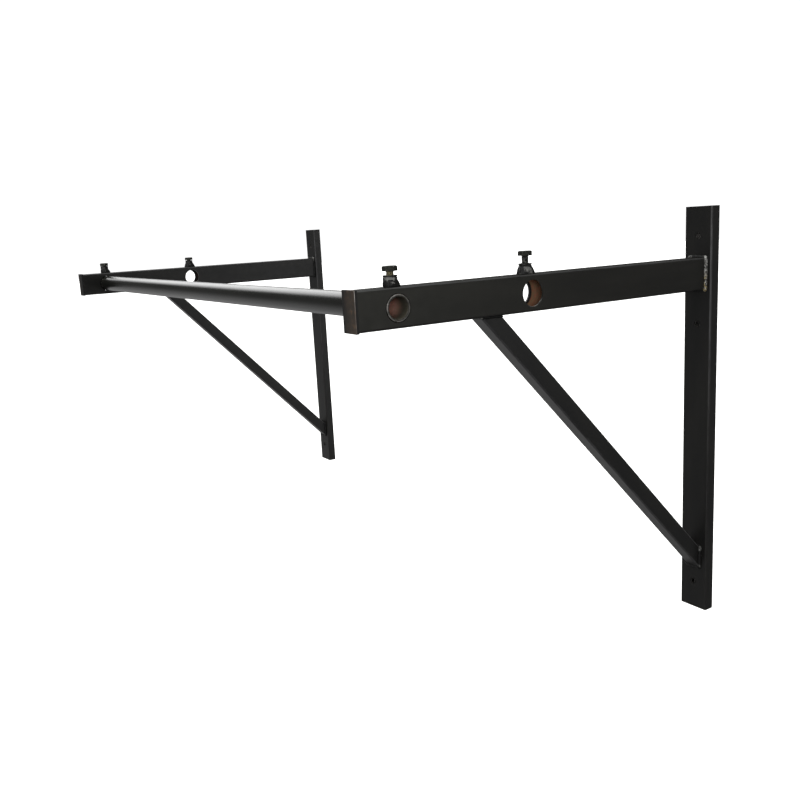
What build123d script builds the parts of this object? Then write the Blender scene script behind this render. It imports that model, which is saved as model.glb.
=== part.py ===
from build123d import *
import os

# Wall-mounted pull up bar. Two welded brackets are bolted to a wall, and a steel pipe passes through a round
# seat in each arm. Every arm has a front seat, which holds the pipe, and a spare rear seat nearer the wall.
# A hexagon-headed clamp screw, in a nut welded over each seat, holds the pipe.
#
# Frame: X runs along the bar, with the right bracket at +X as seen facing the wall. The wall is the plane
# y = 0, and the room is at -Y. Z is up. The origin is the centre of the four outer wall-bolt holes, on the
# wall plane. All sizes are millimetres.

# Bracket layout
bracket_spacing = 1300.0  # between the middle planes of the two brackets
upright_height = 660.0
arm_reach = 650.0  # from the wall to the front of the arm's end cap
arm_centre_height = 557.0  # above the upright's foot
brace_foot_height = 90.0  # centre of the brace on the upright, above the foot
brace_top_reach = 445.0  # centre of the brace on the arm, from the wall

# Upright tube and its wall-bolt holes
upright_width = 50.0
upright_depth = 20.0
upright_wall = 2.0
upright_corner = 3.0
lower_hole_height = 45.0  # above the upright's foot
middle_hole_height = 478.0
upper_hole_height = 615.0
wall_bolt_hole = 10.0

# Arm tube, its end cap and its bar seats
arm_width = 30.0
arm_height = 50.0
arm_wall = 2.5
arm_corner = 3.0
cap_thickness = 4.0
cap_height = 52.0
cap_corner = 1.5
cap_edge_break = 0.5
front_seat_reach = 590.0  # from the wall to the seat's axis
rear_seat_reach = 375.0
seat_diameter = 35.5

# Diagonal brace tube
brace_size = 25.0
brace_wall = 2.0
brace_corner = 2.5

# Pull up bar, a plain steel pipe
bar_diameter = 33.7
bar_wall = 3.2
bar_overhang = 1.0  # past each arm's outer face
bar_edge_break = 0.6

# Clamp screw, welded nut and washer, for an M10 thread
screw_length = 25.0  # under the head
thread_diameter = 9.9
thread_root = 8.4
thread_pitch = 1.5
tip_diameter = 7.0
head_height = 6.4
head_flats = 17.0
nut_height = {"left": 15.0, "right": 12.5}
nut_flats = 16.0
corner_share = 1.13  # a hexagon's rounded-off corners, as a share of its flats
hexagon_chamfer_height = 1.0
hexagon_chamfer_width = 1.6
nut_bore = 10.3
washer_outer = 18.0
washer_bore = 10.6
washer_thickness = 1.6
arm_clearance_hole = 11.0
tip_gap = {"left": 0.3, "right": 2.2}  # between a front screw's tip and the bar
rear_screw_stand = {"left": 1.25, "right": 10.3}  # thread showing between washer and head

# Weld beads
frame_bead = 4.0  # leg of the beads round the arm's root and the brace's foot
top_bead = 3.0  # leg of the bead at the brace's top, before and behind it
top_bead_side = 1.2  # leg of the same bead at the brace's sides
bead_lip = 0.15  # thickness left where a bead ends on its member
nut_bead_height = {"front": 9.0, "rear": 11.0}
nut_bead_width = {"front": 20.4, "rear": 23.0}  # across the arm
nut_bead_length = {"front": 21.6, "rear": 28.5}  # along the arm
nut_bead_shift = {"front": 3.0, "rear": 1.0}  # towards the wall
nut_bead_top_width = 19.5
nut_bead_top_length = 19.4

# Heights in the part's own frame
foot_z = -(lower_hole_height + upper_hole_height) / 2
arm_z = foot_z + arm_centre_height
arm_top_z = arm_z + arm_height / 2
arm_underside_z = arm_z - arm_height / 2
brace_foot_z = foot_z + brace_foot_height
lower_hole_z = foot_z + lower_hole_height
middle_hole_z = foot_z + middle_hole_height
upper_hole_z = foot_z + upper_hole_height
bar_length = bracket_spacing + arm_width + 2 * bar_overhang
bar_top_z = arm_z + bar_diameter / 2

# Planes that several pieces share
upright_front = Plane.XZ.offset(upright_depth)  # normal into the room
arm_underside = Plane.XY.offset(arm_underside_z)

# Turns that lay a local Z axis along another direction
TOWARDS_ROOM = (90, 0, 0)
ALONG_BAR = (0, 90, 0)

# Directions
INTO_ROOM = (0, -1, 0)
DOWN = (0, 0, -1)

FROM_BASE = (Align.CENTER, Align.CENTER, Align.MIN)

sides = {"left": -bracket_spacing / 2, "right": bracket_spacing / 2}
seats = {"front": -front_seat_reach, "rear": -rear_seat_reach}


def draw_tube_wall(width, height, wall, corner):
    """Draw a rectangular tube's section, centred in the sketch in progress."""
    RectangleRounded(width, height, corner)
    RectangleRounded(width - 2 * wall, height - 2 * wall, corner - wall, mode=Mode.SUBTRACT)


def hexagon_block(flats, height):
    """Make a hexagonal block standing on z = 0, with the corners of its top face turned off."""
    with BuildPart() as block:
        Cylinder(flats * corner_share / 2, height, align=FROM_BASE)
        top_edges = block.edges().group_by(Axis.Z)[-1]
        chamfer(top_edges, length=hexagon_chamfer_height, length2=hexagon_chamfer_width)
        with BuildSketch():
            RegularPolygon(flats / 2, side_count=6, major_radius=False)
        extrude(amount=height, mode=Mode.INTERSECT)
    return block.part


def weld_bead(foot, outward, member, side_leg, end_leg, drift):
    """Make a bead round a member's end.

    It stands on the plane at foot and narrows to the member's own outline, which has moved by drift at the
    bead's full height.
    """
    width, length, corner, form = member
    plate = Plane(foot, x_dir=(1, 0, 0), z_dir=outward)
    with BuildPart() as bead:
        with BuildSketch(plate):
            RectangleRounded(width + 2 * side_leg, length + 2 * end_leg, corner + side_leg)
        with BuildSketch(plate.offset(end_leg)):
            with Locations((0, drift)):
                RectangleRounded(width + 2 * bead_lip, length + 2 * bead_lip, corner + bead_lip)
        loft(ruled=True)
        add(form, mode=Mode.SUBTRACT)
    return bead.part


def brace_section_plane(x):
    """The plane square to the brace's axis, one tube size behind its foot."""
    foot = Vector(x, -upright_depth, brace_foot_z)
    top = Vector(x, -brace_top_reach, arm_underside_z)
    along = (top - foot).normalized()
    return Plane(origin=foot - along * brace_size, x_dir=(1, 0, 0), z_dir=along)


os.makedirs("parts", exist_ok=True)

brace_rise = arm_underside_z - brace_foot_z
brace_run = brace_top_reach - upright_depth
brace_span = (brace_rise**2 + brace_run**2) ** 0.5
brace_stock = brace_span + 2 * brace_size
brace_foot_cut = brace_size * brace_span / brace_run  # height of the brace's cut end on the upright
brace_top_cut = brace_size * brace_span / brace_rise  # length of its cut end along the arm

head_blank = hexagon_block(head_flats, head_height)

for side, x in sides.items():
    # Upright: a rectangular tube flat against the wall, drilled through for three wall bolts.
    with BuildPart() as upright:
        with BuildSketch(Plane((x, -upright_depth / 2, foot_z))):
            draw_tube_wall(upright_width, upright_depth, upright_wall, upright_corner)
        extrude(amount=upright_height)
        hole_heights = (lower_hole_z, middle_hole_z, upper_hole_z)
        with Locations(*[Location((x, -upright_depth, z), TOWARDS_ROOM) for z in hole_heights]):
            Hole(wall_bolt_hole / 2)
    upright.part.label = f"upright_{side}"
    export_step(upright.part, f"parts/upright_{side}.step")

    # Arm: a rectangular tube on edge, butted to the upright, with two seats for the bar
    # and a clearance hole for a clamp screw above each seat.
    with BuildPart() as arm:
        with BuildSketch(upright_front):
            with Locations((x, arm_z)):
                draw_tube_wall(arm_width, arm_height, arm_wall, arm_corner)
        extrude(amount=arm_reach - cap_thickness - upright_depth)
        with Locations(*[Location((x + arm_width / 2, y, arm_z), ALONG_BAR) for y in seats.values()]):
            Hole(seat_diameter / 2)
        with Locations(*[(x, y, arm_top_z) for y in seats.values()]):
            Hole(arm_clearance_hole / 2, depth=2 * arm_wall)
    arm.part.label = f"arm_{side}"
    export_step(arm.part, f"parts/arm_{side}.step")

    # End cap: a plate welded over the arm's open front end, a little taller than the tube.
    with BuildPart() as arm_end_cap:
        with BuildSketch(Plane.XZ.offset(arm_reach - cap_thickness)):
            with Locations((x, arm_z)):
                RectangleRounded(arm_width, cap_height, cap_corner)
        extrude(amount=cap_thickness)
        chamfer(arm_end_cap.faces().sort_by(Axis.Y)[0].edges(), cap_edge_break)
    arm_end_cap.part.label = f"arm_end_cap_{side}"
    export_step(arm_end_cap.part, f"parts/arm_end_cap_{side}.step")

    # Brace: a square tube cut off flush with the upright's face and the arm's underside.
    with BuildPart() as brace:
        with BuildSketch(brace_section_plane(x)):
            draw_tube_wall(brace_size, brace_size, brace_wall, brace_corner)
        extrude(amount=brace_stock)
        split(bisect_by=upright_front, keep=Keep.TOP)
        split(bisect_by=arm_underside, keep=Keep.BOTTOM)
    brace.part.label = f"brace_{side}"
    export_step(brace.part, f"parts/brace_{side}.step")

    # Outer forms of the arm and the brace, which the weld beads are cut back from.
    with BuildPart() as arm_form:
        with BuildSketch(upright_front):
            with Locations((x, arm_z)):
                RectangleRounded(arm_width, arm_height, arm_corner)
        extrude(amount=arm_reach)
    with BuildPart() as brace_form:
        with BuildSketch(brace_section_plane(x)):
            RectangleRounded(brace_size, brace_size, brace_corner)
        extrude(amount=brace_stock)

    # Weld bead round the arm's root, on the upright.
    arm_root = (x, -upright_depth, arm_z)
    arm_member = (arm_width, arm_height, arm_corner, arm_form.part)
    with BuildPart() as arm_weld:
        add(weld_bead(arm_root, INTO_ROOM, arm_member, frame_bead, frame_bead, 0))
    arm_weld.part.label = f"arm_weld_{side}"
    export_step(arm_weld.part, f"parts/arm_weld_{side}.step")

    # Weld bead round the brace's foot, on the upright.
    brace_foot = (x, -upright_depth, brace_foot_z)
    foot_member = (brace_size, brace_foot_cut, brace_corner, brace_form.part)
    foot_drift = frame_bead * brace_rise / brace_run
    with BuildPart() as brace_foot_weld:
        add(weld_bead(brace_foot, INTO_ROOM, foot_member, frame_bead, frame_bead, foot_drift))
    brace_foot_weld.part.label = f"brace_foot_weld_{side}"
    export_step(brace_foot_weld.part, f"parts/brace_foot_weld_{side}.step")

    # Weld bead round the brace's top, under the arm.
    brace_top = (x, -brace_top_reach, arm_underside_z)
    top_member = (brace_size, brace_top_cut, brace_corner, brace_form.part)
    top_drift = -top_bead * brace_run / brace_rise
    with BuildPart() as brace_top_weld:
        add(weld_bead(brace_top, DOWN, top_member, top_bead_side, top_bead, top_drift))
    brace_top_weld.part.label = f"brace_top_weld_{side}"
    export_step(brace_top_weld.part, f"parts/brace_top_weld_{side}.step")

    nut_top_z = arm_top_z + nut_height[side]
    nut_blank = hexagon_block(nut_flats, nut_height[side])
    for seat, y in seats.items():
        name = f"{seat}_{side}"
        nut_base = Plane((x, y, arm_top_z))

        # Nut welded to the top of the arm over the seat, with its chamfered face up.
        with BuildPart() as clamp_nut:
            with Locations(nut_base):
                add(nut_blank)
            with Locations((x, y, nut_top_z)):
                Hole(nut_bore / 2)
        clamp_nut.part.label = f"clamp_nut_{name}"
        export_step(clamp_nut.part, f"parts/clamp_nut_{name}.step")

        # Bead round the nut's foot, which spreads along the arm.
        with BuildPart() as nut_weld:
            with BuildSketch(Plane((x, y + nut_bead_shift[seat], arm_top_z))):
                Ellipse(nut_bead_width[seat] / 2, nut_bead_length[seat] / 2)
            with BuildSketch(nut_base.offset(nut_bead_height[seat])):
                Ellipse(nut_bead_top_width / 2, nut_bead_top_length / 2)
            loft()
            with BuildSketch(nut_base):
                RegularPolygon(nut_flats / 2, side_count=6, major_radius=False)
            extrude(amount=nut_bead_height[seat], mode=Mode.SUBTRACT)
        nut_weld.part.label = f"nut_weld_{name}"
        export_step(nut_weld.part, f"parts/nut_weld_{name}.step")

        # Washer lying on the nut.
        with BuildPart() as clamp_washer:
            with BuildSketch(nut_base.offset(nut_height[side])):
                Circle(washer_outer / 2)
                Circle(washer_bore / 2, mode=Mode.SUBTRACT)
            extrude(amount=washer_thickness)
        clamp_washer.part.label = f"clamp_washer_{name}"
        export_step(clamp_washer.part, f"parts/clamp_washer_{name}.step")

        # Clamp screw. A front screw's tip is just off the bar, and a rear screw is clear of its empty seat.
        # Its thread is a row of ridges at the thread's pitch.
        if seat == "front":
            tip_z = bar_top_z + tip_gap[side]
        else:
            tip_z = nut_top_z + washer_thickness + rear_screw_stand[side] - screw_length
        head_base = Plane((x, y, tip_z + screw_length))
        ridge_count = int(screw_length / thread_pitch)
        first_ridge_z = tip_z + screw_length - ridge_count * thread_pitch
        with BuildPart() as clamp_screw:
            with Locations(head_base):
                add(head_blank)
            with BuildSketch(Plane((x, y, 0), x_dir=(1, 0, 0), z_dir=(0, -1, 0))):
                with BuildLine():
                    outline = [(0, tip_z), (tip_diameter / 2, tip_z), (thread_root / 2, first_ridge_z)]
                    for ridge in range(ridge_count):
                        ridge_z = first_ridge_z + ridge * thread_pitch
                        outline.append((thread_diameter / 2, ridge_z + thread_pitch / 2))
                        outline.append((thread_root / 2, ridge_z + thread_pitch))
                    outline.append((0, tip_z + screw_length))
                    Polyline(*outline, close=True)
                make_face()
            revolve(axis=Axis((x, y, 0), (0, 0, 1)))
        clamp_screw.part.label = f"clamp_screw_{name}"
        export_step(clamp_screw.part, f"parts/clamp_screw_{name}.step")

# Pull up bar: one pipe through both front seats, open at its ends.
with BuildPart() as pull_up_bar:
    with BuildSketch(Plane.YZ.offset(-bar_length / 2)):
        with Locations((-front_seat_reach, arm_z)):
            Circle(bar_diameter / 2)
            Circle(bar_diameter / 2 - bar_wall, mode=Mode.SUBTRACT)
    extrude(amount=bar_length)
    end_faces = pull_up_bar.faces().sort_by(Axis.X)
    chamfer(end_faces[0].edges() + end_faces[-1].edges(), bar_edge_break)
pull_up_bar.part.label = "pull_up_bar"
export_step(pull_up_bar.part, "parts/pull_up_bar.step")
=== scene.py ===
import math

import bpy
from mathutils import Matrix, Vector, noise


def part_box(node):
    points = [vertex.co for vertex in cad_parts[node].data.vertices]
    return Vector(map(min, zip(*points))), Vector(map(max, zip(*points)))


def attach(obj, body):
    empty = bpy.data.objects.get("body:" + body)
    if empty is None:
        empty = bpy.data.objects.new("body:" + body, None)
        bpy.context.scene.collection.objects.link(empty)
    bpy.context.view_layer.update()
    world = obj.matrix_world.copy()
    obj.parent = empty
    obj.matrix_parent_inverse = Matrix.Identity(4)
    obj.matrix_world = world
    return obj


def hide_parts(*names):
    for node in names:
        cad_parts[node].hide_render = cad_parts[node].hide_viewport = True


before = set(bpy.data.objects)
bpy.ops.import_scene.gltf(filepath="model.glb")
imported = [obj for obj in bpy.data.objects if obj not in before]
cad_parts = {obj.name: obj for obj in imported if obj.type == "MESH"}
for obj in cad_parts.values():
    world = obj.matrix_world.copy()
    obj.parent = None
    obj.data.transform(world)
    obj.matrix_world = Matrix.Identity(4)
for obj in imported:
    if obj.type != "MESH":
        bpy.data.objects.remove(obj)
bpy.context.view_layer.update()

# Looks of the wall-mounted pull up bar: two painted steel brackets, a painted pipe, and a clamp screw over
# each seat. Metres, in the part's own frame: X along the bar, the wall at y = 0, the room at -Y, Z up.

MM = 0.001
SIDES = ("left", "right")
SEATS = ("front", "rear")
OUTWARD = {"left": -1.0, "right": 1.0}  # along X, away from the bar's middle

# Camera, at the photo's viewing angle: out in the room, beyond the right bracket
CAMERA_PLACE = Vector((1.5337, -1.1524, 0.3203))
CAMERA_YAW = math.radians(57.30)  # to the left of straight at the wall
CAMERA_PITCH = math.radians(11.24)  # downwards
CAMERA_ROLL = math.radians(-3.075)
CAMERA_LENS = 38.75  # in millimetres, as is the sensor's width
SENSOR_WIDTH = 36.0
NEAREST_SEEN = 0.01
FARTHEST_SEEN = 500.0

# Studio
BAR_ABOVE_FLOOR = 2.2  # a usual height for a pull up bar
FLOOR_HALF_SIZE = 60.0
FLOOR_TONE = (0.80, 0.80, 0.79, 1)
OVERHEAD_STRENGTH = 4.4
OVERHEAD_SPREAD = math.radians(72)
LAMP_STRENGTH = 1.3  # it shines about along the camera's view
LAMP_SPREAD = math.radians(24)
LAMP_RISE = math.radians(6)
LAMP_TURN = math.radians(57)
BACKDROP_BRIGHTNESS = 1.1
ROOM_BRIGHTNESS = 0.085

# Soft lights of the room that the paint reflects. Each has the direction to its centre, in degrees from -X
# towards +Y and then upwards, its brightness, and the angles from its centre where it starts and ends fading.
SOFT_LIGHTS = (
    (9, 33, 3.3, 7, 27),  # the big window on the left
    (-3, -34, 0.42, 8, 42),  # its light on the floor
    (-75, 4, 0.12, 20, 65),  # the room in front
    (153, -3, 1.4, 2, 13),  # the open door on the right
    (150, 2, 0.05, 20, 60),  # the room on the right
    (-124, 19, 2.0, 12, 34),  # the lamp in front on the right
    (0, 90, 1.0, 25, 62),  # the ceiling
)

# Colours, as linear red, green and blue. A pair is what a mottled surface varies between.
WHITE = (1, 1, 1, 1)
BLACK_PAINT = (0.0045, 0.0045, 0.0044, 1)
THIN_PAINT = (0.0080, 0.0077, 0.0070, 1)
# Rubbed paint, which on the members' corners also stands as a painted highlight
RUBBED_PAINT_AND_HIGHLIGHT = (0.040, 0.040, 0.041, 1)
BAR_PAINT = ((0.0028, 0.0030, 0.0022, 1), (0.0050, 0.0053, 0.0041, 1))
DUST = (0.010, 0.0098, 0.009, 1)
BARE_STEEL = (0.42, 0.40, 0.38, 1)
WELD_GREY = (0.30, 0.30, 0.285, 1)
HEAT_STRAW = (0.42, 0.33, 0.15, 1)
DARK_STEEL = (0.055, 0.052, 0.048, 1)
NUT_STEEL = (0.19, 0.19, 0.18, 1)
MILL_SCALE = ((0.16, 0.155, 0.15, 1), (0.11, 0.105, 0.10, 1))
RUST_BROWN = (0.18, 0.110, 0.063, 1)
RUST = ((0.225, 0.098, 0.058, 1), RUST_BROWN)
# Dark rust, darkened as painted shade for the insides of the braces and the left arm
DARK_RUST_AND_PAINTED_SHADE = ((0.030, 0.018, 0.014, 1), (0.018, 0.014, 0.012, 1))
# Rust deep inside the pipe, made bright as painted light
PIPE_RUST_AND_PAINTED_LIGHT = ((0.76, 0.39, 0.31, 1), (0.62, 0.355, 0.27, 1))
SHALLOW_RUST = (0.030, 0.027, 0.018, 1)
PRIMER = ((0.038, 0.026, 0.018, 1), (0.024, 0.019, 0.014, 1))
SCREW_BLACK = (0.018, 0.019, 0.015, 1)
SCREW_RUBBED = (0.085, 0.085, 0.066, 1)
THREAD_STEEL = (0.17, 0.17, 0.16, 1)
ZINC_YELLOW = (0.52, 0.47, 0.30, 1)
GRIMY_ZINC = (0.10, 0.085, 0.04, 1)

# Gloss. A pair is the roughness of the smoothest blotches and of the roughest.
PAINT_IOR = 1.46
BAR_IOR = 1.5
PAINT_ROUGHNESS = (0.28, 0.42)
BAR_ROUGHNESS = (0.20, 0.28)
CAP_ROUGHNESS = (0.42, 0.8)
RUST_ROUGHNESS = 0.9
CLEAN_SPECULAR = 0.5
DUSTY_SPECULAR = 0.05
# The right arm's tint is painted light: the colour of the room's light, put into its paint's reflections
ARM_PAINTED_LIGHT_TINT = {"left": WHITE, "right": (1.0, 1.0, 0.90, 1)}  # of the reflections in an arm's paint
PAINT_DRAWN_OUT = 6  # how much longer the paint's clouds are along a member than across it

# Wear, as the share of a surface that has lost its paint
# A cap's bareness also sets how strong the painted highlight on its outer edge is
CAP_BARENESS = {"left": 0.25, "right": 1.0}
ARM_WELD_BARENESS = {"left": (0.05, 0.1), "right": (0.14, 0.72)}  # in all, and on the outer side
BRACE_FOOT_BARENESS = 0.14
BRACE_TOP_BARENESS = 0.12
NUT_WELD_BARENESS = 0.06
NUT_BARENESS = {
    ("front", "left"): 0.1,
    ("front", "right"): 0.62,
    ("rear", "left"): 0.1,
    ("rear", "right"): 0.25,
}
WASHER_SHARE = 0.3  # of its nut's bareness
ZINC_SHARE = {"front": 0.7, "rear": 0.0}

# A worn surface is bare where its noise is above a threshold, which falls as its bareness goes from 0 to 1
THRESHOLD_AT_NONE = 0.76
THRESHOLD_FALL = 0.52

# Sections of the members, as in the CAD
UPRIGHT_WALL = 2.0 * MM
UPRIGHT_CORNER = 3.0 * MM
ARM_WALL = 2.5 * MM
ARM_CORNER = 3.0 * MM
BRACE_WALL = 2.0 * MM
BRACE_CORNER = 2.5 * MM
BAR_WALL = 3.2 * MM
SEAT_RADIUS = 17.75 * MM
SCREW_HEAD_HEIGHT = 6.4 * MM

# Weld beads
RIPPLE = 2.3 * MM  # from one ripple to the next
RIPPLE_SHARE = 0.8  # of that length, before the groove
RIPPLE_TRAIL = 0.55  # how far a crest trails at the bead's sides, as a share of that length
RIPPLE_DEPTH = 0.11  # as a share of the bead's leg
FRAME_LEG = 4 * MM  # round the arm's root and the brace's foot
TOP_LEG = 2.6 * MM  # round the brace's top
BEAD_SPACING = 0.45 * MM  # from one section to the next
BEAD_POINTS = 9  # across the face of a section
BEAD_OVERLAP = 0.4 * MM  # into the member
BEAD_SINK = 0.1 * MM  # into the plate
BEAD_COARSENESS = 95  # lumps in a metre, in the waviness of a bead's size
BEAD_FINENESS = 260  # the same, for the smaller ones

# Weld beads of the nuts, which are lumpier
NUT_BEAD_ROWS = 12
NUT_BEAD_COLUMNS = 150
NUT_BEAD_FOOT = 0.97  # as a share of the CAD bead's spread
NUT_BEAD_CROWN = 0.94  # radius at its top, as a share of the nut's
NUT_BEAD_CORE = 0.80  # radius of its inner wall, inside the nut, as the same share
NUT_BEAD_BULGE = 0.3 * MM
NUT_BEAD_RIB = 0.35 * MM
NUT_BEAD_LUMP = 0.55 * MM
LUMPS_IN_A_METRE = 170
SWELLS_IN_A_METRE = 120

# Plates that members are welded to: two axes in the plate, and the one along which the member leaves it
UPRIGHT_FACE = ((1, 0, 0), (0, 0, 1), (0, -1, 0))
ARM_UNDERSIDE = ((1, 0, 0), (0, -1, 0), (0, 0, -1))

# Painted highlights, as bare spots on a nut's bead: outward, to the front and up as shares of its half size,
# and the radius
NUT_BEAD_HIGHLIGHT_SPOTS = {
    "front": ((0.62, 0.55, -0.6, 2.2 * MM),),
    "rear": ((0.76, 0.20, -0.10, 6.5 * MM), (0.10, 0.95, -0.8, 4.5 * MM)),
}


class Nodes:
    """A node tree, with short ways to add to it. A value is a constant or a node's output."""

    def __init__(self, tree):
        self.tree = tree

    def node(self, kind, **settings):
        made = self.tree.nodes.new(kind)
        for setting, value in settings.items():
            setattr(made, setting, value)
        return made

    def feed(self, socket, value):
        if isinstance(value, bpy.types.NodeSocket):
            self.tree.links.new(value, socket)
        else:
            socket.default_value = value

    def math(self, operation, first, *others):
        """The operation on the first two values, then on the result and the next value, and so on."""
        for other in others:
            made = self.node("ShaderNodeMath", operation=operation)
            self.feed(made.inputs[0], first)
            self.feed(made.inputs[1], other)
            first = made.outputs[0]
        return first

    def product(self, *values):
        return self.math("MULTIPLY", *values)

    def largest(self, *values):
        return self.math("MAXIMUM", *values)

    def complement(self, share):
        return self.math("SUBTRACT", 1.0, share)

    def magnitude(self, value):
        return self.math("ABSOLUTE", value, 0.0)

    def vector_math(self, operation, first, second):
        made = self.node("ShaderNodeVectorMath", operation=operation)
        self.feed(made.inputs[0], first)
        self.feed(made.inputs[1], second)
        return made.outputs

    def step(self, value, low, high, lowest=0.0, highest=1.0):
        """Goes smoothly from lowest, where value is low, to highest, where it is high."""
        made = self.node("ShaderNodeMapRange", interpolation_type="SMOOTHSTEP")
        self.feed(made.inputs["Value"], value)
        self.feed(made.inputs["From Min"], low)
        self.feed(made.inputs["From Max"], high)
        self.feed(made.inputs["To Min"], lowest)
        self.feed(made.inputs["To Max"], highest)
        return made.outputs[0]


class Finish(Nodes):
    """A procedural material's nodes, in the coordinates of the member that it covers."""

    def __init__(self, name, centre=(0, 0, 0), tilt=0.0):
        self.material = bpy.data.materials.new(name)
        self.material.use_nodes = True
        super().__init__(self.material.node_tree)
        self.shader = self.tree.nodes["Principled BSDF"]
        place = self.node("ShaderNodeMapping", vector_type="TEXTURE")
        self.feed(place.inputs["Location"], centre)
        self.feed(place.inputs["Rotation"], (tilt, 0, 0))
        self.feed(place.inputs["Vector"], self.node("ShaderNodeTexCoord").outputs["Object"])
        self.where = place.outputs["Vector"]
        split = self.node("ShaderNodeSeparateXYZ")
        self.feed(split.inputs[0], self.where)
        self.x, self.y, self.z = split.outputs

    def distance(self, place, other=(0, 0, 0)):
        return self.vector_math("DISTANCE", place, other)["Value"]

    def from_axis(self, axis_y=0.0):
        """The distance from the line along X at z = 0 and y = axis_y."""
        flat = self.node("ShaderNodeCombineXYZ")
        self.feed(flat.inputs["Y"], self.math("SUBTRACT", self.y, axis_y))
        self.feed(flat.inputs["Z"], self.z)
        return self.distance(flat.outputs[0])

    def blotches(self, breadth, detail=4.0, stretch=(1, 1, 1)):
        """Noise from 0 to 1 with blotches about breadth across, drawn out by stretch."""
        drawn = self.vector_math("DIVIDE", self.where, [breadth * way for way in stretch])["Vector"]
        made = self.node("ShaderNodeTexNoise")
        self.feed(made.inputs["Vector"], drawn)
        self.feed(made.inputs["Scale"], 1.0)
        self.feed(made.inputs["Detail"], detail)
        return made.outputs["Fac"]

    def blend(self, share, first, second):
        """The first colour, turning into the second as share goes from 0 to 1."""
        made = self.node("ShaderNodeMix", data_type="RGBA")
        self.feed(made.inputs["Factor"], share)
        colours = [socket for socket in made.inputs if socket.type == "RGBA"]
        self.feed(colours[0], first)
        self.feed(colours[1], second)
        return [socket for socket in made.outputs if socket.type == "RGBA"][0]

    def level(self, share, first, second):
        """The first number, turning into the second as share goes from 0 to 1."""
        made = self.node("ShaderNodeMapRange")
        self.feed(made.inputs["Value"], share)
        self.feed(made.inputs["To Min"], first)
        self.feed(made.inputs["To Max"], second)
        return made.outputs[0]

    def relief(self, height, depth):
        """Bumps as deep as depth where height goes from 0 to 1."""
        made = self.node("ShaderNodeBump")
        self.feed(made.inputs["Height"], height)
        self.feed(made.inputs["Distance"], depth)
        self.feed(self.shader.inputs["Normal"], made.outputs[0])

    def set(self, **values):
        """Sets the shader's sockets, named with underscores for spaces."""
        for socket, value in values.items():
            self.feed(self.shader.inputs[socket.replace("_", " ")], value)

    def cover(self, name):
        target = bpy.data.objects[name]
        target.data.materials.clear()
        target.data.materials.append(self.material)


def middle(node):
    low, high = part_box(node)
    return (low + high) / 2


def size(node):
    low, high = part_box(node)
    return high - low


def dusted(finish, colour):
    """The colour, with a thin uneven layer of dust on what faces up, and the mask of what faces up."""
    facing = finish.node("ShaderNodeSeparateXYZ")
    finish.feed(facing.inputs[0], finish.node("ShaderNodeNewGeometry").outputs["Normal"])
    upward = finish.step(facing.outputs["Z"], 0.55, 0.95)
    patchy = finish.step(finish.blotches(9 * MM), 0.35, 0.75, 0.05, 0.55)
    return finish.blend(finish.product(upward, patchy), colour, DUST), upward


def paint(finish, along, worn, unpainted, under, bare=0.0, tint=WHITE):
    """Satin black paint, drawn out along the member. It is rubbed where worn, which on corners also stands as
    a painted highlight, shows the two colours of under where unpainted, and shows steel where bare. Tint
    colours its reflections with painted light."""
    stretch = [PAINT_DRAWN_OUT if axis == along else 1 for axis in "XYZ"]
    cloudy = finish.step(finish.blotches(22 * MM, stretch=stretch), 0.3, 0.75)
    colour, upward = dusted(finish, finish.blend(cloudy, BLACK_PAINT, THIN_PAINT))
    broken = finish.step(finish.blotches(5 * MM, stretch=stretch), 0.30, 0.62, 0.35, 1.0)
    # The rubbed paint is wear, and on the corners a painted highlight as well
    colour = finish.blend(finish.product(worn, broken), colour, RUBBED_PAINT_AND_HIGHLIGHT)
    mottled = finish.step(finish.blotches(4 * MM, detail=6), 0.35, 0.65)
    colour = finish.blend(unpainted, colour, finish.blend(mottled, *under))
    colour = finish.blend(bare, colour, BARE_STEEL)
    smooth = finish.level(finish.blotches(14 * MM), *PAINT_ROUGHNESS)
    rough = finish.level(unpainted, smooth, RUST_ROUGHNESS)
    grain = finish.blotches(1.6 * MM, detail=2)
    finish.relief(finish.level(unpainted, grain, mottled), 0.06 * MM)
    finish.set(Base_Color=colour, Roughness=rough, Metallic=bare, IOR=PAINT_IOR, Specular_Tint=tint)
    finish.set(Specular_IOR_Level=finish.level(upward, CLEAN_SPECULAR, DUSTY_SPECULAR))


def tube_masks(finish, across, half_width, half_height, wall, corner):
    """Masks of a rectangular tube's corners, worn and given a painted highlight, and of its unpainted inside.
    Its section lies in the local x and the axis named across."""
    sideways = finish.magnitude(finish.x)
    upwards = finish.magnitude(finish.y if across == "Y" else finish.z)
    reach = 0.55 * corner
    side = finish.step(sideways, half_width - corner, half_width - corner + reach)
    top = finish.step(upwards, half_height - corner, half_height - corner + reach)
    depth = finish.largest(
        finish.math("SUBTRACT", sideways, half_width - wall),
        finish.math("SUBTRACT", upwards, half_height - wall),
    )
    inside = finish.step(depth, 0.1 * MM, 0.3 * MM, 1.0, 0.0)
    return finish.product(side, top), inside


def upright_finish(side):
    """Paint over mill scale, with worn corners that also carry a painted highlight, both stronger higher up.
    """
    node = f"upright_{side}"
    finish = Finish(f"bracket_paint_{node}", middle(node))
    half = size(node) / 2
    worn, inside = tube_masks(finish, "Y", half.x, half.y, UPRIGHT_WALL, UPRIGHT_CORNER)
    # The wear and painted highlight on the corners are stronger higher up
    higher = finish.step(finish.z, -0.35 * half.z, 0.75 * half.z, 0.1, 1.0)
    paint(finish, "Z", finish.product(worn, higher, finish.complement(inside)), inside, MILL_SCALE)
    finish.cover(node)


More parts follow.
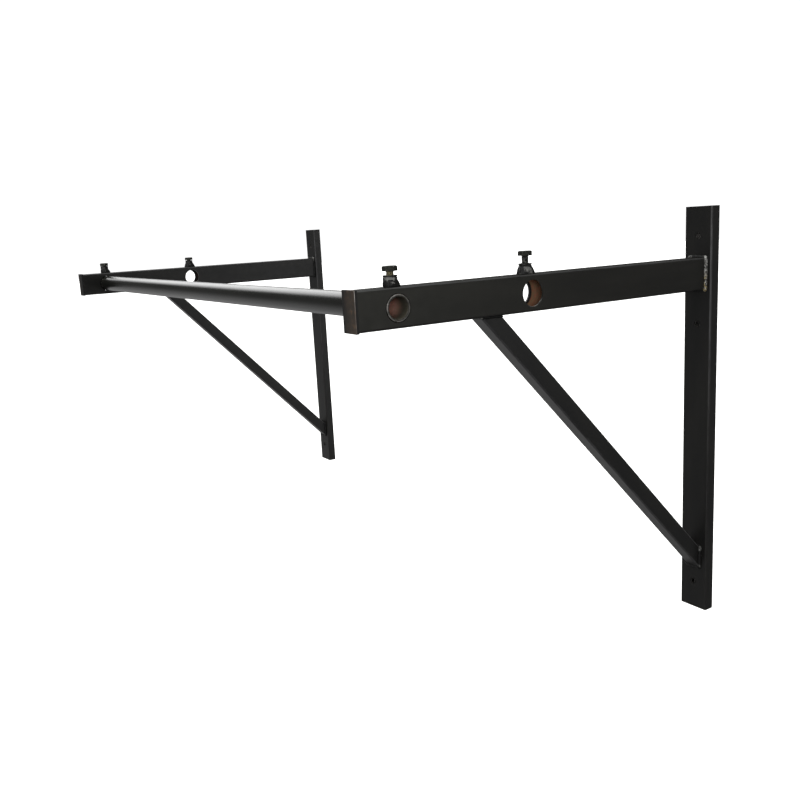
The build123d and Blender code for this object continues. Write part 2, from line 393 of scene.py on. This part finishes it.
def arm_finish(side):
    """Paint over rust, with overspray inside round the rear seat, whose cut is worn and bare low down. The
    cut's inner half and the overspray are lightened with painted light.
    """
    node = f"arm_{side}"
    centre = middle(node)
    finish = Finish(f"bracket_paint_{node}", centre)
    half = size(node) / 2
    corners, inside = tube_masks(finish, "Z", half.x, half.z, ARM_WALL, ARM_CORNER)
    from_seat = finish.from_axis(middle(f"clamp_screw_rear_{side}").y - centre.y)

    # Bare steel, low on the cut
    rim = finish.step(from_seat, SEAT_RADIUS + 0.1 * MM, SEAT_RADIUS + 0.5 * MM, 1.0, 0.0)
    lower = finish.step(finish.z, -0.78 * SEAT_RADIUS, -1.0 * SEAT_RADIUS)
    patchy = finish.step(finish.blotches(6 * MM), 0.35, 0.6, 0.10, 0.4)
    bare = finish.product(rim, lower, finish.complement(inside), patchy)

    # Wear and a painted highlight at the tube's corners, wear and painted light on the inner half of the cut,
    # and thin paint lightened with painted light in the ring of overspray
    cut = finish.step(from_seat, SEAT_RADIUS + 0.1 * MM, SEAT_RADIUS + 0.2 * MM, 1.0, 0.0)
    inward = finish.product(finish.x, -OUTWARD[side])
    cut = finish.product(cut, finish.step(inward, 0.0, 1 * MM, 0.0, 2.2))
    unsprayed = finish.step(from_seat, SEAT_RADIUS + 3.2 * MM, SEAT_RADIUS + 4.6 * MM)
    overspray = finish.product(inside, finish.complement(unsprayed))
    worn = finish.largest(finish.product(corners, 0.45), cut, finish.product(overspray, 0.4))

    # The left arm's inside is dark rust, darkened as painted shade
    under = RUST if side == "right" else DARK_RUST_AND_PAINTED_SHADE
    paint(finish, "Y", worn, finish.product(inside, unsprayed), under, bare, ARM_PAINTED_LIGHT_TINT[side])
    finish.cover(node)


def brace_tilt(side):
    extent = size(f"brace_{side}")
    return math.atan2(extent.z, extent.y)


def brace_finish(side):
    """Paint over dark rust, darkened inside the tube as painted shade, in coordinates that lean with the
    brace.
    """
    node = f"brace_{side}"
    angle = brace_tilt(side)
    half = size(node).x / 2
    centre = middle(node) + half * Vector((0, math.sin(angle), math.cos(angle)))
    finish = Finish(f"bracket_paint_{node}", centre, -angle)
    worn, inside = tube_masks(finish, "Z", half, half, BRACE_WALL, BRACE_CORNER)
    paint(finish, "Y", worn, inside, DARK_RUST_AND_PAINTED_SHADE)
    finish.cover(node)


def cap_finish(side):
    """Brown primer under worn paint, darker towards the bar's middle, with a bare outer edge that also stands
    as a painted highlight.
    """
    node = f"arm_end_cap_{side}"
    bareness = CAP_BARENESS[side]
    finish = Finish(f"cap_rust_{side}", middle(node))
    half = size(node) / 2
    front = -half.y
    blotchy = finish.blotches(9 * MM, detail=5, stretch=(0.7, 1, 2.4))
    brown = finish.blend(finish.step(blotchy, 0.35, 0.65), *PRIMER)
    spots = finish.step(finish.blotches(5 * MM, detail=5), 0.50, 0.72, 0.0, 0.35)
    brown = finish.blend(spots, brown, RUST_BROWN)
    lateral = finish.product(finish.x, OUTWARD[side])
    inner_half = finish.step(lateral, -half.x, 0.5 * half.x, 1.0, 0.0)
    behind_face = finish.step(finish.y, front + 0.5 * MM, front + 1.2 * MM)
    colour = finish.blend(finish.largest(inner_half, behind_face), brown, BLACK_PAINT)
    colour = finish.blend(1.0 - bareness, colour, BLACK_PAINT)

    # The bare edge, outward of the face and in front, is also a painted highlight, stronger higher up
    beside = finish.step(lateral, half.x - 0.55 * MM, half.x - 0.25 * MM)
    ahead = finish.step(finish.y, front + 0.45 * MM, front + 0.75 * MM, 1.0, 0.0)
    higher = finish.step(finish.z, -0.1 * half.z, 0.9 * half.z, 0.12, 0.75)
    broken = finish.step(finish.blotches(8 * MM), 0.3, 0.55, 0.4, 1.0)
    bare = finish.product(beside, ahead, broken, higher, bareness)
    colour = finish.blend(bare, colour, BARE_STEEL)
    finish.relief(blotchy, 0.12 * MM)
    rough = finish.level(finish.largest(spots, 1.0 - bareness), *CAP_ROUGHNESS)
    finish.set(Base_Color=colour, Roughness=rough, Metallic=finish.product(bare, 0.7), IOR=PAINT_IOR)
    finish.cover(node)


def bar_finish():
    """Nearly black paint, scratched along where the bar goes through the seats and bare on its cut ends, and
    rust inside the pipe, painted lighter deeper in as painted light."""
    node = "pull_up_bar"
    finish = Finish("bar_paint", middle(node))
    half = size(node) / 2
    along = finish.magnitude(finish.x)
    radius = finish.from_axis()
    inner_radius = half.z - BAR_WALL
    inside = finish.step(radius, inner_radius + 0.1 * MM, inner_radius + 0.3 * MM, 1.0, 0.0)

    # Bare steel, on the cut ends' outer rims and in the scratches
    end = finish.step(along, half.x - 0.8 * MM, half.x - 0.5 * MM)
    rim = finish.step(radius, half.z - 1.7 * MM, half.z - 1.1 * MM)
    uneven = finish.step(finish.blotches(7 * MM), 0.30, 0.65, 0.06, 0.36)
    scratches = finish.step(finish.blotches(1.2 * MM, stretch=(30, 1, 1)), 0.60, 0.72)
    near_seat = finish.step(along, half.x - 60 * MM, half.x - 36 * MM)
    scratched = finish.product(scratches, near_seat, finish.complement(inside), 0.35)
    bare = finish.largest(finish.product(end, rim, uneven), scratched)

    # Paint outside and rust inside, lighter deeper in the pipe as painted light
    cloudy = finish.step(finish.blotches(30 * MM, stretch=(5, 1, 1)), 0.3, 0.7)
    mottled = finish.step(finish.blotches(5 * MM, detail=6), 0.35, 0.65)
    # Painted light: the rust is dark near the pipe's ends and bright deeper in
    deep = finish.step(along, half.x - 49 * MM, half.x - 9 * MM, 1.0, 0.0)
    rust = finish.blend(deep, SHALLOW_RUST, finish.blend(mottled, *PIPE_RUST_AND_PAINTED_LIGHT))
    rusted = finish.largest(inside, finish.product(end, 0.3))
    colour = finish.blend(rusted, finish.blend(cloudy, *BAR_PAINT), rust)
    colour = finish.blend(bare, colour, BARE_STEEL)
    smooth = finish.level(finish.blotches(8 * MM, stretch=(6, 1, 1)), *BAR_ROUGHNESS)
    rough = finish.level(rusted, smooth, RUST_ROUGHNESS)
    finish.relief(finish.blotches(1.5 * MM, detail=2, stretch=(3, 1, 1)), 0.02 * MM)
    finish.set(Base_Color=colour, Roughness=rough, Metallic=bare, IOR=BAR_IOR)
    finish.cover(node)


def weld_finish(name, centre, bareness, spots=(), outer=None, heated=0.0):
    """Weld metal under thin paint, with bareness as the share that shows through. Each of the spots, which
    have a place from the centre and a radius, is made bare: rubbed bare at an arm's inner corner and a
    brace's tack, and a painted highlight on the nuts' beads and at the ends of a brace's foot. Outer is the
    way along X to a barer side, how far from the centre it is, and its bareness. The lower part is yellowed
    by heat, by heated at most."""
    finish = Finish(name, centre)
    patchy = finish.blotches(7 * MM, detail=5)
    if outer:
        outward, outer_x, outer_bareness = outer
        beside = finish.step(finish.product(finish.x, outward), outer_x - 1.2 * MM, outer_x)
        bareness = finish.level(beside, bareness, outer_bareness)
    threshold = finish.math("SUBTRACT", THRESHOLD_AT_NONE, finish.product(bareness, THRESHOLD_FALL))
    bare = finish.step(finish.math("SUBTRACT", patchy, threshold), -0.04, 0.04)
    ragged = finish.product(finish.math("SUBTRACT", patchy, 0.5), 24 * MM)
    for place, radius in spots:
        near = finish.math("SUBTRACT", finish.distance(finish.where, place), ragged)
        bare = finish.largest(bare, finish.step(near, 0.2 * radius, radius, 0.38, 0.0))
    lower = finish.step(finish.z, 6 * MM, -12 * MM, 0.0, heated)
    straw = finish.product(finish.step(finish.blotches(4 * MM), 0.40, 0.6), lower)
    dark = finish.step(finish.blotches(2.2 * MM, detail=5), 0.46, 0.60)
    metal = finish.blend(dark, finish.blend(straw, WELD_GREY, HEAT_STRAW), DARK_STEEL)
    colour = finish.blend(bare, BLACK_PAINT, metal)
    finish.relief(finish.blotches(0.8 * MM, detail=4), 0.10 * MM)
    rough = finish.level(bare, 0.44, 0.55)
    finish.set(Base_Color=colour, Roughness=rough, Metallic=finish.product(bare, 0.6), IOR=PAINT_IOR)
    finish.set(Specular_IOR_Level=finish.level(bare, 0.28, 0.5))
    return finish


def nut_finish(seat, side):
    """Worn black over steel on a nut, and the same on its washer, where less of the steel shows."""
    bareness = NUT_BARENESS[seat, side]
    for part, share in (("nut", bareness), ("washer", WASHER_SHARE * bareness)):
        node = f"clamp_{part}_{seat}_{side}"
        finish = Finish(f"{part}_steel_{seat}_{side}", middle(node))
        threshold = THRESHOLD_AT_NONE - THRESHOLD_FALL * share
        patchy = finish.step(finish.blotches(5 * MM, detail=5), threshold, threshold + 0.08)
        colour = finish.blend(patchy, THIN_PAINT, NUT_STEEL)
        finish.relief(finish.blotches(1.2 * MM, detail=3), 0.05 * MM)
        rough = finish.level(patchy, 0.36, 0.5)
        finish.set(Base_Color=colour, Roughness=rough, Metallic=finish.product(patchy, 0.4), IOR=PAINT_IOR)
        finish.cover(node)


def screw_finish(seat, side):
    """A black head, rubbed in places, and a grimy thread, with some yellow zinc on a front screw."""
    node = f"clamp_screw_{seat}_{side}"
    top_of_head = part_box(node)[1].z
    finish = Finish(f"screw_steel_{seat}_{side}", (middle(node).x, middle(node).y, top_of_head))
    head = finish.step(finish.z, -SCREW_HEAD_HEIGHT - 1.0 * MM, -SCREW_HEAD_HEIGHT + 0.2 * MM)
    grime = finish.step(finish.blotches(3 * MM, detail=5), 0.40, 0.65)
    zinc = finish.blend(grime, ZINC_YELLOW, GRIMY_ZINC)
    thread = finish.blend(ZINC_SHARE[seat], finish.blend(grime, SCREW_BLACK, THREAD_STEEL), zinc)
    worn = finish.step(finish.blotches(4 * MM, detail=5), 0.48, 0.68, 0.0, 0.5)
    colour = finish.blend(head, thread, finish.blend(worn, SCREW_BLACK, SCREW_RUBBED))
    finish.relief(finish.blotches(1.0 * MM, detail=3), 0.04 * MM)
    finish.set(Base_Color=colour, Roughness=finish.level(grime, 0.32, 0.55), Metallic=0.5)
    finish.cover(node)


def rounded_outline(half_a, half_b, corner):
    """Evenly spaced points round a rounded rectangle, each with its outward direction and its place along the
    outline, and the outline's length."""
    bend_length = math.pi / 2 * corner
    stretches = (2 * (half_b - corner), bend_length, 2 * (half_a - corner), bend_length) * 2
    total = sum(stretches)
    count = round(total / BEAD_SPACING)
    points = []
    for step in range(count):
        along = total * step / count
        place = along
        stretch = 0
        while place > stretches[stretch]:
            place -= stretches[stretch]
            stretch += 1
        quarter, in_bend = divmod(stretch, 2)
        heading = quarter * math.pi / 2
        out = Vector((math.cos(heading), math.sin(heading)))
        ahead = Vector((-math.sin(heading), math.cos(heading)))
        reach_out, reach_ahead = (half_b, half_a) if quarter % 2 else (half_a, half_b)
        if in_bend:
            angle = place / corner
            normal = out * math.cos(angle) + ahead * math.sin(angle)
            point = out * (reach_out - corner) + ahead * (reach_ahead - corner) + normal * corner
        else:
            normal = out
            point = out * reach_out + ahead * (place - (reach_ahead - corner))
        points.append((point, normal, along))
    return points, total


def ripple(along, sideways):
    """From 0 to 1 over each ripple of a bead, whose crests trail at its sides, where sideways is -1 or 1."""
    phase = along / RIPPLE - RIPPLE_TRAIL * sideways * sideways
    share = phase - math.floor(phase)
    if share < RIPPLE_SHARE:
        return math.sin(math.pi * share / RIPPLE_SHARE)
    return 0.15 * math.sin(math.pi * (share - RIPPLE_SHARE) / (1 - RIPPLE_SHARE))


def bead_piece(name, sections, node):
    """A weld bead that stands for node: a closed tube through sections, all with as many points."""
    count = len(sections)
    around = len(sections[0])
    faces = []
    for row in range(count):
        here = row * around
        following = (row + 1) % count * around
        for column in range(around):
            beside = (column + 1) % around
            faces.append((here + column, here + beside, following + beside, following + column))
    mesh = bpy.data.meshes.new(name)
    mesh.from_pydata([point for section in sections for point in section], [], faces)
    mesh.update()
    mesh.polygons.foreach_set("use_smooth", [True] * len(faces))
    piece = bpy.data.objects.new(name, mesh)
    bpy.context.scene.collection.objects.link(piece)
    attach(piece, "brackets")
    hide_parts(node)
    return piece


def fillet_bead(name, node, origin, plate, outline, leg, lean=0.0):
    """A rippled weld bead round a member's end, which stands for node. The outline is the member's half sizes
    and its corner. The member leaves the plate at origin along the plate's third axis, leaning along the
    second one by lean."""
    a, b, up = (Vector(axis) for axis in plate)
    points, total = rounded_outline(*outline)
    ripples = round(total / RIPPLE)
    sections = []
    for point, normal, along in points:
        base = origin + a * point.x + b * point.y
        outward = a * normal.x + b * normal.y
        uneven = 1 + 0.20 * noise.noise(base * BEAD_COARSENESS) + 0.10 * noise.noise(base * BEAD_FINENESS)
        section = [base - outward * BEAD_OVERLAP - up * BEAD_SINK]
        for index in range(BEAD_POINTS):
            share = index / (BEAD_POINTS - 1)
            angle = share * math.pi / 2
            crest = ripple(along * ripples * RIPPLE / total, 2 * share - 1)
            reach = leg * uneven * (1 - RIPPLE_DEPTH + RIPPLE_DEPTH * crest * math.sin(2 * angle) ** 0.5)
            height = reach * math.sin(angle)
            section.append(base + outward * reach * math.cos(angle) * 0.98 + up * height + b * lean * height)
        # The last point is as high as the one before it, inside the member.
        section.append(base - outward * BEAD_OVERLAP + up * height + b * lean * height)
        sections.append(section)
    return bead_piece(name, sections, node)


def arm_bead(side):
    """The bead round the arm's root, bare on its outer side and rubbed at its top inner corner."""
    arm = f"arm_{side}"
    node = f"arm_weld_{side}"
    half = size(arm) / 2
    root = Vector((middle(arm).x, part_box(arm)[1].y, middle(arm).z))
    outline = (half.x, half.z, ARM_CORNER)
    bead = fillet_bead(f"arm_bead_{side}", node, root, UPRIGHT_FACE, outline, FRAME_LEG)
    inner_corner = (Vector((-OUTWARD[side] * half.x, 0, half.z + 1 * MM)), 6.5 * MM)
    in_all, on_outer_side = ARM_WELD_BARENESS[side]
    outer = (OUTWARD[side], half.x, on_outer_side)
    finish = weld_finish(f"weld_metal_{arm}", middle(node), in_all, [inner_corner], outer, heated=1.0)
    finish.cover(bead.name)


def brace_beads(side):
    """The beads round the brace's foot, with painted highlights as bare spots at its outer ends, and round
    its top, with a bare tack.
    """
    low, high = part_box(f"brace_{side}")
    arm_x = middle(f"arm_{side}").x
    half_width = (high.x - low.x) / 2
    angle = brace_tilt(side)
    foot_half = half_width / math.cos(angle)
    top_half = half_width / math.sin(angle)

    node = f"brace_foot_weld_{side}"
    foot = Vector((arm_x, high.y, low.z + foot_half))
    outline = (half_width, foot_half, BRACE_CORNER)
    lean = math.tan(angle)
    bead = fillet_bead(f"brace_foot_bead_{side}", node, foot, UPRIGHT_FACE, outline, FRAME_LEG, lean)
    half = size(node) / 2
    # Painted highlights: bare spots at the top and bottom of the foot bead's outer side
    ends = [(Vector((OUTWARD[side] * half.x, 0, rise * half.z)), 4.5 * MM) for rise in (-0.68, 0.72)]
    weld_finish(f"weld_metal_brace_foot_{side}", middle(node), BRACE_FOOT_BARENESS, ends).cover(bead.name)

    node = f"brace_top_weld_{side}"
    top = Vector((arm_x, low.y + top_half, high.z))
    outline = (half_width, top_half, BRACE_CORNER)
    lean = -1 / math.tan(angle)
    bead = fillet_bead(f"brace_top_bead_{side}", node, top, ARM_UNDERSIDE, outline, TOP_LEG, lean)
    half = size(node) / 2
    tack = (Vector((OUTWARD[side] * half.x, -half.y, 0)), 4 * MM)
    weld_finish(f"weld_metal_brace_top_{side}", middle(node), BRACE_TOP_BARENESS, [tack]).cover(bead.name)


def nut_bead(seat, side):
    """A lumpy bead that spreads from a nut's foot over the top of the arm, rubbed bare in places, with
    painted highlights as bare spots.
    """
    node = f"nut_weld_{seat}_{side}"
    nut = f"clamp_nut_{seat}_{side}"
    low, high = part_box(node)
    half = (high - low) / 2
    height = high.z - low.z
    girth = 2 * math.pi * half.x
    foot = Vector(((low.x + high.x) / 2, (low.y + high.y) / 2, low.z))
    nut_foot = Vector((middle(nut).x, middle(nut).y, low.z))
    crown_radius = size(nut).x / 2 * NUT_BEAD_CROWN
    core_radius = size(nut).x / 2 * NUT_BEAD_CORE
    sections = []
    for column in range(NUT_BEAD_COLUMNS):
        turn = 2 * math.pi * column / NUT_BEAD_COLUMNS
        way = Vector((math.cos(turn), math.sin(turn), 0))
        spread = foot + Vector((half.x * way.x, half.y * way.y, 0)) * NUT_BEAD_FOOT
        crown = nut_foot + way * crown_radius
        core = nut_foot + way * core_radius
        section = [core - Vector((0, 0, BEAD_SINK))]
        for row in range(NUT_BEAD_ROWS):
            share = row / (NUT_BEAD_ROWS - 1)
            hump = math.sin(math.pi * share)
            here = spread.lerp(crown, share) + way * (hump * NUT_BEAD_BULGE)
            rib = ripple(girth * column / NUT_BEAD_COLUMNS, 2 * share - 1) * hump
            lump = noise.noise(Vector((here.x, here.y, share * 5 * MM)) * LUMPS_IN_A_METRE)
            here += way * (NUT_BEAD_RIB * rib + NUT_BEAD_LUMP * lump * hump ** 0.5)
            rise = height * share * (1 + 0.10 * noise.noise(here * SWELLS_IN_A_METRE) * share)
            section.append(Vector((here.x, here.y, low.z + min(rise, height))))
        section.append(core + Vector((0, 0, height * 0.97)))
        sections.append(section)
    bead = bead_piece(f"nut_bead_{seat}_{side}", sections, node)
    # Painted highlights, as bare spots where the bead faces outward and to the front
    spots = [
        (Vector((OUTWARD[side] * half.x * outward, -half.y * front, half.z * up)), radius)
        for outward, front, up, radius in NUT_BEAD_HIGHLIGHT_SPOTS[seat]
    ]
    weld_finish(f"weld_metal_nut_{seat}_{side}", middle(node), NUT_WELD_BARENESS, spots).cover(bead.name)


def build_bracket(side):
    """The finishes of a bracket and its clamp screws, with weld beads in the place of the CAD's."""
    upright_finish(side)
    arm_finish(side)
    brace_finish(side)
    cap_finish(side)
    arm_bead(side)
    brace_beads(side)
    for seat in SEATS:
        nut_finish(seat, side)
        nut_bead(seat, side)
        screw_finish(seat, side)


def build_camera():
    camera = bpy.data.objects.new("camera", bpy.data.cameras.new("camera"))
    bpy.context.scene.collection.objects.link(camera)
    camera.data.lens = CAMERA_LENS
    camera.data.sensor_width = SENSOR_WIDTH
    camera.data.clip_start = NEAREST_SEEN
    camera.data.clip_end = FARTHEST_SEEN
    ahead = Vector((
        -math.sin(CAMERA_YAW) * math.cos(CAMERA_PITCH),
        math.cos(CAMERA_YAW) * math.cos(CAMERA_PITCH),
        -math.sin(CAMERA_PITCH),
    ))
    level_right = ahead.cross(Vector((0, 0, 1))).normalized()
    level_up = level_right.cross(ahead)
    right = level_right * math.cos(CAMERA_ROLL) + level_up * math.sin(CAMERA_ROLL)
    up = level_up * math.cos(CAMERA_ROLL) - level_right * math.sin(CAMERA_ROLL)
    turn = Matrix((right, up, -ahead)).transposed()
    camera.matrix_world = Matrix.Translation(CAMERA_PLACE) @ turn.to_4x4()
    bpy.context.scene.camera = camera


def build_floor():
    """The floor, which only the camera sees: the soft lights already have the light that it gives."""
    height = middle("pull_up_bar").z - BAR_ABOVE_FLOOR
    corners = [
        (x * FLOOR_HALF_SIZE, y * FLOOR_HALF_SIZE, height)
        for x, y in ((-1, -1), (1, -1), (1, 1), (-1, 1))
    ]
    mesh = bpy.data.meshes.new("floor")
    mesh.from_pydata(corners, [], [(0, 1, 2, 3)])
    floor = bpy.data.objects.new("floor", mesh)
    bpy.context.scene.collection.objects.link(floor)
    floor.visible_glossy = False
    floor.visible_diffuse = False
    pale = Finish("floor_pale")
    pale.set(Base_Color=FLOOR_TONE, Roughness=0.9)
    pale.cover("floor")


def soft_sun(name, strength, spread, turn):
    """Soft light on the matt surfaces. The paint's reflections come from the world instead."""
    light = bpy.data.objects.new(name, bpy.data.lights.new(name, "SUN"))
    bpy.context.scene.collection.objects.link(light)
    light.data.energy = strength
    light.data.angle = spread
    light.rotation_euler = turn
    light.visible_glossy = False


def direction(turn, rise):
    """Turn is from -X towards +Y and rise is upwards, both in degrees."""
    turn = math.radians(turn)
    rise = math.radians(rise)
    return (-math.cos(rise) * math.cos(turn), math.cos(rise) * math.sin(turn), math.sin(rise))


def build_world():
    """The room, as an even glow and its soft lights. The camera sees a plain white backdrop instead."""
    world = bpy.data.worlds.new("studio")
    bpy.context.scene.world = world
    world.use_nodes = True
    nodes = Nodes(world.node_tree)
    way = nodes.node("ShaderNodeTexCoord").outputs["Generated"]
    glow = ROOM_BRIGHTNESS
    for turn, rise, brightness, fade_start, fade_end in SOFT_LIGHTS:
        nearness = nodes.vector_math("DOT_PRODUCT", way, direction(turn, rise))["Value"]
        outer = math.cos(math.radians(fade_end))
        inner = math.cos(math.radians(fade_start))
        glow = nodes.math("ADD", nodes.step(nearness, outer, inner, 0.0, brightness), glow)
    room = nodes.tree.nodes["Background"]
    backdrop = nodes.node("ShaderNodeBackground")
    for background, strength in ((room, glow), (backdrop, BACKDROP_BRIGHTNESS)):
        nodes.feed(background.inputs["Color"], WHITE)
        nodes.feed(background.inputs["Strength"], strength)
    either = nodes.node("ShaderNodeMixShader")
    nodes.feed(either.inputs["Fac"], nodes.node("ShaderNodeLightPath").outputs["Is Camera Ray"])
    nodes.feed(either.inputs[1], room.outputs[0])
    nodes.feed(either.inputs[2], backdrop.outputs[0])
    nodes.feed(nodes.tree.nodes["World Output"].inputs["Surface"], either.outputs[0])


bar_finish()
for side in SIDES:
    build_bracket(side)
build_camera()
build_floor()
soft_sun("overhead", OVERHEAD_STRENGTH, OVERHEAD_SPREAD, (0, 0, 0))
soft_sun("camera_lamp", LAMP_STRENGTH, LAMP_SPREAD, (math.pi / 2 - LAMP_RISE, 0, LAMP_TURN))
build_world()
bpy.context.scene.view_settings.view_transform = "Standard"
